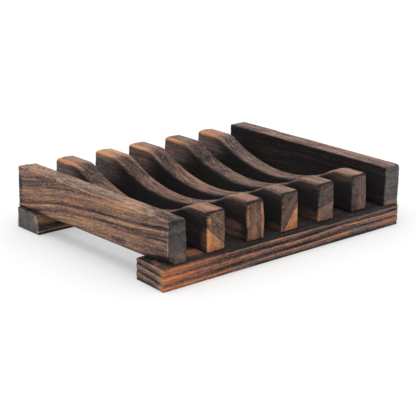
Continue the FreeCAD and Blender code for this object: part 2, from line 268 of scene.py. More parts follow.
def round_arrises(points, high, radius):
    """Rounds a box's arrises. Also returns each point's nearness to an arris and its offset from the core."""
    core = np.clip(points, radius[:, None], high - radius[:, None])
    offset = points - core
    reach = np.linalg.norm(offset, axis=1)
    scale = np.minimum(1.0, radius / np.maximum(reach, 1e-9))
    nearness = np.sort(np.abs(offset), axis=1)[:, 1] / radius
    return core + offset * scale[:, None], np.clip(nearness, 0.0, 1.0), offset


def cut_lower_corner(points, size):
    """Draws the left end bar's outer side in towards its foot, where the plank had its wane."""
    stations = (0.0, WANE_RUN, size[Y])
    width = np.interp(points[:, Y], stations, WANE_WIDTHS)
    height = np.interp(points[:, Y], stations, WANE_HEIGHTS)
    below = 1.0 - points[:, Z] / height
    eased = np.clip(below + WANE_BLEND, 0.0, None) ** 2 / (4.0 * WANE_BLEND)
    inset = width * np.where(below > WANE_BLEND, below, eased)
    moved = points.copy()
    moved[:, X] = inset + points[:, X] * (1.0 - inset / size[X])
    return drop_foot(moved, Y, *LEFT_OVERHANG)


def skew_left_end(points, size):
    """Cuts the front rail's left end a little out of square."""
    share = points[:, Y] / size[Y] * (1.0 - smoothstep(0.0, SKEW_RUN, points[:, X]))
    return points + np.outer(SKEW * share, (1.0, 0.0, 0.0))


def round_front_top(points, size):
    """Rounds the rear rail's front upper arris, where the plank had its wane."""
    depth = np.clip(RAIL_WANE - points[:, Y], 0.0, None)
    rise = np.clip(points[:, Z] - (size[Z] - RAIL_WANE), 0.0, None)
    scale = np.maximum(depth, rise) / np.maximum(np.hypot(depth, rise), 1e-9)
    moved = points.copy()
    moved[:, Y] = points[:, Y] + depth * (1.0 - scale) * (rise > 0.0)
    moved[:, Z] = points[:, Z] - rise * (1.0 - scale) * (depth > 0.0)
    return moved


def drop_foot(points, axis, start, drop):
    """Lets the torn foot of a bar hang down a little where it stands beyond the rail below it."""
    outer = smoothstep(start, start + OVERHANG_RUN, points[:, axis])
    low = 1.0 - smoothstep(0.0, OVERHANG_HEIGHT, points[:, Z])
    return points - np.outer(drop * outer * low, (0.0, 0.0, 1.0))


def drop_outer_foot(points, _size):
    """Drops the front of the right end bar's foot beyond the right end of the front rail."""
    front = 1.0 - smoothstep(0.5 * TORN_LENGTH, TORN_LENGTH, points[:, Y])
    return points + (drop_foot(points, X, *RIGHT_OVERHANG) - points) * front[:, None]


def vertex_normals(points, quads):
    """Unit normals at the points, averaged from the quads round them."""
    across = points[quads[:, 2]] - points[quads[:, 0]]
    along = points[quads[:, 3]] - points[quads[:, 1]]
    facing = np.cross(across, along)
    total = np.zeros_like(points)
    for corner in range(4):
        np.add.at(total, quads[:, corner], facing)
    return total / np.linalg.norm(total, axis=1, keepdims=True)


def face_mix(normals, levels, default=0.0):
    """Blends a value per face by how far each normal points that way."""
    total = np.zeros(len(normals))
    for name, (axis, sign) in FACES.items():
        total += np.maximum(normals[:, axis] * sign, 0.0) ** 2 * levels.get(name, default)
    return total


def place_in_log(wood, points, size, seed):
    """Each point's distance from the ring through the middle, and its places along the ring and the grain."""
    along = points[:, wood.grain]
    across = points[:, 1 - wood.grain] - size[1 - wood.grain] / 2.0
    up = points[:, Z] - size[Z] / 2.0
    tilt = math.radians(wood.tilt)
    ring = np.hypot(across - wood.pith * math.sin(tilt), up + wood.pith * math.cos(tilt)) - wood.pith
    fall, start = wood.sweep
    swept = smoothstep(start, 1.0, along / size[wood.grain])
    stretch = np.full(3, STRAY_ACROSS)
    stretch[wood.grain] = STRAY_ALONG
    stray = wood.wander * (lattice_noise(points * stretch, seed) - 0.5)
    ring += stray + fall * swept - wood.drift * along
    return np.column_stack([ring, across * math.cos(tilt) + up * math.sin(tilt), along])


def relief_of(wood, points, normals, log, seed):
    """How far each point stands out of the plain box: ring lines, brushed grooves and unevenness."""
    height = np.zeros(len(log))
    core, edge = LINE_EDGES
    for place, width, change in wood.bands:
        height += change * (1.0 - smoothstep(core * width, edge * width, np.abs(log[:, 0] - place)))
    ends = {face: wood.end_relief for face, (axis, _sign) in FACES.items() if axis == wood.grain}
    out = face_mix(normals, ends, wood.relief) * np.clip(height, -MOST_RELIEF, MOST_RELIEF)
    out += GROOVE_DEPTH * (lattice_noise(log * GROOVE_CELLS, seed + 3) - 0.5)
    return out + WAVE_DEPTH * (lattice_noise(points * WAVE_CELLS, seed + 1) - 0.5)


def edge_wear(wood, points, nearness, offset, size, seed):
    """How far each arris is rubbed bare, up to 1, or burnt, down to -1."""
    share = np.clip(points[:, wood.grain] / size[wood.grain], 0.0, 1.0)
    wear = nearness * USUAL_WEAR * smoothstep(*WEAR_EDGES, lattice_noise(points * WEAR_CELLS, seed + 11))
    for faces, strength, start, end in wood.worn:
        reach = np.ones(len(points))
        for name in faces.split():
            axis, sign = FACES[name]
            reach *= offset[:, axis] * sign > 0.0
        if start > 0.0:
            reach *= smoothstep(start - WEAR_BLEND, start + WEAR_BLEND, share)
        if end < 1.0:
            reach *= 1.0 - smoothstep(end - WEAR_BLEND, end + WEAR_BLEND, share)
        wear += (nearness * strength - wear) * reach
    return wear


def tone_ash_and_sheen(wood, points, normals, log, size):
    """Tone of each point, before the lines and the fibres, and how grey its char and its painted sheen make
    it.
    """
    tone = face_mix(normals, wood.tones)
    ash_and_sheen = face_mix(normals, wood.ash_and_sheen)
    limit, change = wood.bare
    below = 1.0 - smoothstep(limit - BARE_BLEND, limit + BARE_BLEND, log[:, 0])
    tone += change * below * face_mix(normals, wood.figure, 1.0)
    for centre, radii, lighter, greyer in wood.patches:
        away = np.linalg.norm((points - np.array(centre) * size) / np.array(radii), axis=1)
        inside = 1.0 - smoothstep(PATCH_CORE, 1.0, away)
        tone += lighter * inside
        ash_and_sheen += greyer * inside
    return tone, np.clip(ash_and_sheen, 0.0, 1.0)


def make_wood_mesh(name, points, quads, log, attributes):
    """A smooth mesh in metres that carries its points' places in the log and the attributes."""
    mesh = bpy.data.meshes.new(name)
    mesh.from_pydata((points * MM).tolist(), [], quads.tolist())
    mesh.shade_smooth()
    places = mesh.attributes.new("log", "FLOAT_VECTOR", "POINT")
    places.data.foreach_set("vector", log.astype(np.float32).ravel())
    for label, values in attributes.items():
        mesh.attributes.new(label, "FLOAT", "POINT").data.foreach_set("value", values.astype(np.float32))
    piece = bpy.data.objects.new(name, mesh)
    bpy.context.scene.collection.objects.link(piece)
    return piece


def wooden_piece(node, wood, seed, shape=None, scooped=False):
    """Builds the piece that stands for a wooden CAD node and gives it its material."""
    low, high = box_of(node)
    brad_line = (high[Y] - low[Y]) / 2.0
    low[wood.grain] -= wood.reach[0]
    high[wood.grain] += wood.reach[1]
    high[Y] += wood.deeper
    size = high - low
    steps = [STEP_ACROSS] * 3
    steps[wood.grain] = STEP_ALONG
    marks = [[], [], []]
    marks[wood.grain] = [place - low[wood.grain] for place in wood.brads]
    stops = [side_stops(size[axis], wood.rounding, steps[axis], marks[axis]) for axis in range(3)]
    points, quads = box_grid(stops)
    limits = np.tile(size, (len(points), 1))
    if scooped:
        limits[:, Z] = scoop_top(points[:, Y], size[Y], size[Z])
        points = lower_to(points, limits[:, Z], size[Z], wood.rounding)
    points, nearness, offset = round_arrises(points, limits, arris_radius(wood, points, limits, seed))
    wear = edge_wear(wood, points, nearness, offset, size, seed)
    if shape:
        points = shape(points, size)
    normals = vertex_normals(points, quads)
    log = place_in_log(wood, points, size, seed)
    out = relief_of(wood, points, normals, log, seed)
    chipped = smoothstep(*CHIP_EDGES, lattice_noise(points * CHIP_CELLS, seed + 2))
    chipped *= smoothstep(*CHIP_HEIGHTS, points[:, Z])
    out -= wood.chips * nearness * chipped
    out *= 1.0 - face_mix(normals, {face: 1.0 for face in wood.seats})
    for mark in marks[wood.grain]:
        from_brad = np.hypot(points[:, X] - mark, points[:, Y] - brad_line)
        dent = 1.0 - smoothstep(DENT_FLAT, 1.0, from_brad / DENT_RADIUS)
        out -= DENT_DEPTH * (normals[:, Z] < -0.5) * dent
    tone, ash_and_sheen = tone_ash_and_sheen(wood, points, normals, log, size)
    attributes = {
        "tone": tone,
        "ash_and_sheen": ash_and_sheen,
        "wear": wear,
        "figure": face_mix(normals, wood.figure, 1.0),
        "fibres": face_mix(normals, wood.fibres, 1.0),
        "hue": face_mix(normals, wood.hue, USUAL_HUE),
    }
    piece = make_wood_mesh(f"{node}_wood", points + normals * out[:, None] + low, quads, log, attributes)
    piece.data.materials.append(wood_material(f"{node}_wood", wood, seed))
    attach(piece, "root")
    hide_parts(node)


class Shader:
    """Short ways to add nodes to a new material."""

    def __init__(self, name):
        self.material = bpy.data.materials.new(name)
        self.material.use_nodes = True
        self.tree = self.material.node_tree
        self.tree.nodes.clear()

    def node(self, kind, inputs=None, **settings):
        """A node with its settings, whose inputs are linked or set."""
        made = self.tree.nodes.new(kind)
        for key, value in settings.items():
            setattr(made, key, value)
        for key, value in (inputs or {}).items():
            if isinstance(value, bpy.types.NodeSocket):
                self.tree.links.new(value, made.inputs[key])
            else:
                made.inputs[key].default_value = value
        return made

    def math(self, operation, *values, clamp=False):
        inputs = dict(enumerate(values))
        return self.node("ShaderNodeMath", inputs, operation=operation, use_clamp=clamp).outputs[0]

    def centred(self, noise, share):
        """A share of noise about 0.5, moved to lie about 0."""
        return self.math("MULTIPLY_ADD", noise, share, -0.5 * share)

    def attribute(self, name, output="Fac"):
        return self.node("ShaderNodeAttribute", attribute_name=name).outputs[output]

    def ramp(self, value, low, high, start=0.0, end=1.0):
        """Goes smoothly from start, at low, to end, at high."""
        inputs = {"Value": value, "From Min": low, "From Max": high, "To Min": start, "To Max": end}
        return self.node("ShaderNodeMapRange", inputs, interpolation_type="SMOOTHSTEP").outputs["Result"]

    def towards(self, share, value, goal):
        """Brings a value to a goal, by a share of the way."""
        return self.math("MULTIPLY_ADD", share, self.math("SUBTRACT", goal, value), value)

    def mix(self, share, first, second):
        """Colour between first, at share 0, and second, at share 1."""
        inputs = {0: share, 6: first, 7: second}
        return self.node("ShaderNodeMix", inputs, data_type="RGBA", clamp_factor=True).outputs[2]

    def palette(self, value, colours):
        """Colour of a value between 0 and 1, from colours at places along that range."""
        made = self.node("ShaderNodeValToRGB", {0: value})
        stops = made.color_ramp.elements
        for index, (place, colour) in enumerate(colours):
            stop = stops[index] if index < 2 else stops.new(place)
            stop.position = place
            stop.color = (*colour, 1.0)
        return made.outputs[0]

    def noise(self, place, cells, offset, detail=3.0):
        """Noise about 0.5 with so many cells in a unit of each axis of a place."""
        moved = self.node("ShaderNodeMapping", {"Vector": place, "Scale": cells, "Location": (offset,) * 3})
        inputs = {"Vector": moved.outputs[0], "Scale": 1.0, "Detail": detail, "Roughness": NOISE_ROUGHNESS}
        return self.node("ShaderNodeTexNoise", inputs).outputs["Fac"]

    def own_place(self):
        return self.node("ShaderNodeTexCoord").outputs["Object"]

    def surface(self, inputs):
        """Ends the material in a principled surface."""
        shader = self.node("ShaderNodeBsdfPrincipled", inputs)
        self.node("ShaderNodeOutputMaterial", {"Surface": shader.outputs[0]})
        return self.material


# Colours of the wood by tone: golden and red wood, and char that has gone grey, which also paints a grey
# sheen
GOLDEN = (
    (0.0, (0.0115, 0.009, 0.0083)), (1.0, (0.62, 0.32, 0.12)), (0.25, (0.045, 0.032, 0.027)),
    (0.45, (0.115, 0.066, 0.047)), (0.62, (0.235, 0.132, 0.082)), (0.8, (0.40, 0.21, 0.09)),
)
RUDDY = (
    (0.0, (0.012, 0.0088, 0.0083)), (1.0, (0.62, 0.20, 0.06)), (0.25, (0.049, 0.030, 0.026)),
    (0.45, (0.125, 0.053, 0.038)), (0.62, (0.25, 0.090, 0.049)), (0.8, (0.42, 0.125, 0.043)),
)
ASH_AND_SHEEN_GREYS = (
    (0.0, (0.009, 0.0087, 0.0088)), (1.0, (0.30, 0.27, 0.25)), (0.25, (0.040, 0.037, 0.037)),
    (0.45, (0.082, 0.075, 0.073)), (0.62, (0.14, 0.126, 0.119)), (0.8, (0.22, 0.19, 0.175)),
)
RUBBED_TONE = 0.93
BURNT_TONE = 0.12
# Noise of the colours, in cells per millimetre across the rings, along them and along the grain
STREAK_CELLS = (1.1, 0.45, 0.03)
FIBRE_CELLS = (1.5, 1.5, 0.17)
FLECK_CELLS = (2.3, 2.3, 0.8)
CLOUD_CELLS = (0.13, 0.13, 0.05)
HAZE_CELLS = (0.25, 0.2, 0.045)
RUB_CELLS = (0.6, 0.6, 0.45)
# How far the noises of two pieces are apart, and how rough all noise is
SEED_STEP = 3.7
NOISE_ROUGHNESS = 0.55
# How much the fibres and the clouds change the tone, how uneven the rubbing is, and how much the haze and the
# rubbing change the hue
FIBRE_SHARE = 0.55
CLOUD_SHARE = 0.3
RUB_SHARE = 1.8
HAZE_RED = 1.6
RUBBED_RED = 0.3
# Edges of a line's colour in shares of its width, the haze between which lines fade, the tones between which
# they weaken and what is left of them then
COLOUR_EDGES = (0.25, 0.75)
FADING_EDGES = (0.38, 0.56)
WEAK_EDGES = (0.3, 0.8)
WEAK_LINES = 0.35
# Wear at which rubbing begins and is complete, and the same for burning
RUBBED_EDGES = (0.35, 0.75)
BURNT_EDGES = (-0.15, -0.55)
# Tones between which the ash and the painted sheen end, flecks between which they go from thin to full, and
# their share where thin
ASH_AND_SHEEN_EDGES = (0.6, 0.85)
THIN_ASH_AND_SHEEN_EDGES = (0.3, 0.5)
THIN_ASH_AND_SHEEN = 0.6
# Fine relief: its depth in metres and its strength. The sheen grows from coal to bare wood.
BUMP_DEPTH = 0.0005
BUMP_STRENGTH = 0.6
SHEEN_EDGES = (0.1, 0.7)
COAL_ROUGHNESS = 0.95
BARE_ROUGHNESS = 0.45


def wood_material(name, wood, seed):
    """Charred and brushed wood: one tone, from coal to bare wood, picks the colour."""
    shader = Shader(name)
    log = shader.attribute("log", "Vector")

    def noise(cells, offset, detail=3.0):
        return shader.noise(log, cells, seed * SEED_STEP + offset, detail)

    streak = noise(STREAK_CELLS, 0.0)
    fibre = noise(FIBRE_CELLS, 1.3)
    fleck = noise(FLECK_CELLS, 2.1, 1.0)
    cloud = noise(CLOUD_CELLS, 4.9)
    haze = noise(HAZE_CELLS, 9.1)

    ring = shader.node("ShaderNodeSeparateXYZ", {0: log}).outputs[0]
    frayed = shader.math("MULTIPLY_ADD", fibre, 2.0 * wood.jag, shader.math("SUBTRACT", ring, wood.jag))
    core, edge = COLOUR_EDGES
    lines = 0.0
    for place, width, change in wood.bands:
        off = shader.math("ABSOLUTE", shader.math("SUBTRACT", frayed, place))
        lines = shader.math("ADD", lines, shader.ramp(off, core * width, edge * width, change, 0.0))
    lines = shader.math("MULTIPLY", lines, shader.ramp(haze, *FADING_EDGES, 1.0 - wood.fading, 1.0))

    middle = 0.5 * (wood.streaks + FIBRE_SHARE + wood.flecks)
    grain = shader.math("MULTIPLY_ADD", streak, wood.streaks, -middle)
    grain = shader.math("MULTIPLY_ADD", fibre, FIBRE_SHARE, grain)
    grain = shader.math("MULTIPLY_ADD", fleck, wood.flecks, grain)
    plain = shader.attribute("tone")
    lines = shader.math("MULTIPLY", lines, shader.ramp(plain, *WEAK_EDGES, 1.0, WEAK_LINES))
    tone = shader.math("MULTIPLY_ADD", grain, shader.attribute("fibres"), plain)
    tone = shader.math("MULTIPLY_ADD", lines, shader.attribute("figure"), tone)
    tone = shader.math("ADD", tone, shader.centred(cloud, CLOUD_SHARE))

    uneven = shader.centred(noise(RUB_CELLS, 3.3, 2.0), RUB_SHARE)
    wear = shader.attribute("wear")
    rubbed = shader.ramp(shader.math("ADD", wear, uneven), *RUBBED_EDGES)
    burnt = shader.ramp(wear, *BURNT_EDGES)
    tone = shader.towards(rubbed, tone, RUBBED_TONE)
    tone = shader.towards(burnt, tone, BURNT_TONE)

    red = shader.math("ADD", shader.attribute("hue"), shader.centred(haze, HAZE_RED))
    red = shader.math("MULTIPLY_ADD", rubbed, RUBBED_RED, red)
    colour = shader.mix(red, shader.palette(tone, GOLDEN), shader.palette(tone, RUDDY))
    # Grey of ash, which on the slats' tops and on the rears of their left sides is a painted sheen
    grey = shader.math("MULTIPLY", shader.attribute("ash_and_sheen"), shader.ramp(tone, *ASH_AND_SHEEN_EDGES, 1.0, 0.0))
    grey = shader.math("MULTIPLY", grey, shader.ramp(fleck, *THIN_ASH_AND_SHEEN_EDGES, THIN_ASH_AND_SHEEN, 1.0))
    colour = shader.mix(grey, colour, shader.palette(tone, ASH_AND_SHEEN_GREYS))

    height = shader.math("MULTIPLY_ADD", fleck, 0.5, fibre)
    fine = {"Height": height, "Strength": BUMP_STRENGTH, "Distance": BUMP_DEPTH}
    bump = shader.node("ShaderNodeBump", fine)
    rough = shader.ramp(tone, *SHEEN_EDGES, COAL_ROUGHNESS, BARE_ROUGHNESS)
    return shader.surface(
        {"Base Color": colour, "Roughness": rough, "Specular IOR Level": 0.25, "Normal": bump.outputs[0]}
    )


# Steel: its colours, and its noise in cells per metre
BRIGHT_STEEL = (0.5, 0.5, 0.51, 1.0)
DULL_STEEL = (0.2, 0.16, 0.13, 1.0)
SCRATCH_CELLS = (3000.0, 3000.0, 90.0)
DULL_CELLS = (500.0, 500.0, 500.0)
SCRATCH_DEPTH = 0.0001


def steel_material():
    """Drawn steel wire, a little dulled."""
    shader = Shader("brad_steel")
    place = shader.own_place()
    scratch = shader.noise(place, SCRATCH_CELLS, 0.0)
    dull = shader.noise(place, DULL_CELLS, 5.0, 4.0)
    colour = shader.mix(shader.ramp(dull, 0.45, 0.7), BRIGHT_STEEL, DULL_STEEL)
    bump = shader.node("ShaderNodeBump", {"Height": scratch, "Strength": 0.3, "Distance": SCRATCH_DEPTH})
    rough = shader.ramp(dull, 0.35, 0.7, 0.3, 0.6)
    return shader.surface(
        {"Base Color": colour, "Metallic": 1.0, "Roughness": rough, "Normal": bump.outputs[0]}
    )


def box_of(node):
    """Low and high corner of a CAD node, in millimetres."""
    return [np.array(corner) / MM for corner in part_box(node)]


def brad_places():
    """Where the brads stand along X: under the middle of each slat and near the end bars' outer faces."""
    numbers = range(1, SLAT_COUNT + 1)
    middles = [float(np.mean(box_of(f"slat_{number}"), axis=0)[X]) for number in numbers]
    left = float(box_of("left_end_bar")[0][X]) + END_BRAD_INSET
    right = float(box_of("right_end_bar")[1][X]) - END_BRAD_INSET
    return (left, *middles, right)


# Patches that the slats share, each as (centre in shares of the box, radii, change of tone, change of ash and
# painted sheen)
SLAT_SCOOP = ((0.5, 0.45, 0.2), (9.0, 46.0, 18.0), -0.16, 0.0)
SLAT_REAR_CREST = ((0.5, 0.78, 0.85), (9.0, 11.0, 12.0), -0.22, 0.0)
# Painted light and sheen, greyed with ash, on the rear of the left sides
SLAT_REAR_SHEEN_AND_ASH = ((0.0, 0.95, 0.75), (2.0, 26.0, 11.0), 0.54, 0.25)
SLAT_REAR_ARRIS = ((0.0, 0.93, 1.0), (1.5, 9.0, 1.3), 0.3, -0.5)
SLAT_FRONT_BROWN = ((0.0, 0.08, 0.95), (1.2, 15.0, 4.5), 0.28, 0.0)
SLAT_LEFT_EDGE = ((0.0, 0.0, 0.45), (0.9, 0.9, 8.0), 0.14, 0.0)
SLAT_RIGHT_EDGE = ((1.0, 0.0, 0.45), (0.9, 0.9, 8.0), 0.2, 0.0)
SLAT_PATCHES = (
    SLAT_SCOOP, SLAT_REAR_CREST, SLAT_REAR_SHEEN_AND_ASH, SLAT_REAR_ARRIS,
    SLAT_FRONT_BROWN, SLAT_LEFT_EDGE, SLAT_RIGHT_EDGE,
)
SLAT_TONES = {"left": -0.09, "right": -0.09, "top": 0.61, "bottom": 0.2, "front": 0.48, "rear": 0.5}
SLAT_HUE = {"top": 0.45, "left": 0.5, "right": 0.5}
# Grey on the slats: ash on the sides and ends, and a painted grey sheen on top
SLAT_ASH_AND_SHEEN = {"left": 0.15, "right": 0.15, "front": 0.1, "rear": 0.1, "top": 0.14}
# Start of the rear stretch on which the slats' left upper arris is rubbed bare
REAR_STRETCH = 0.85


def slat_wood(tones=(), hue=(), ash_and_sheen=(), patches=(), **own):
    """Wood of one slat: what all slats share, with this one's own values over it."""
    return Wood(
        grain=Y, chips=0.06, relief=0.07,
        figure={"top": 0.4, "left": 0.3, "right": 0.3},
        fibres={"left": 0.8, "right": 0.8, "front": 0.8, "top": 1.15},
        tones={**SLAT_TONES, **dict(tones)}, hue={**SLAT_HUE, **dict(hue)}, ash_and_sheen={**SLAT_ASH_AND_SHEEN, **dict(ash_and_sheen)},
        patches=(*SLAT_PATCHES, *patches), **own,
    )


RAIL_SEATS = ("top", "bottom")

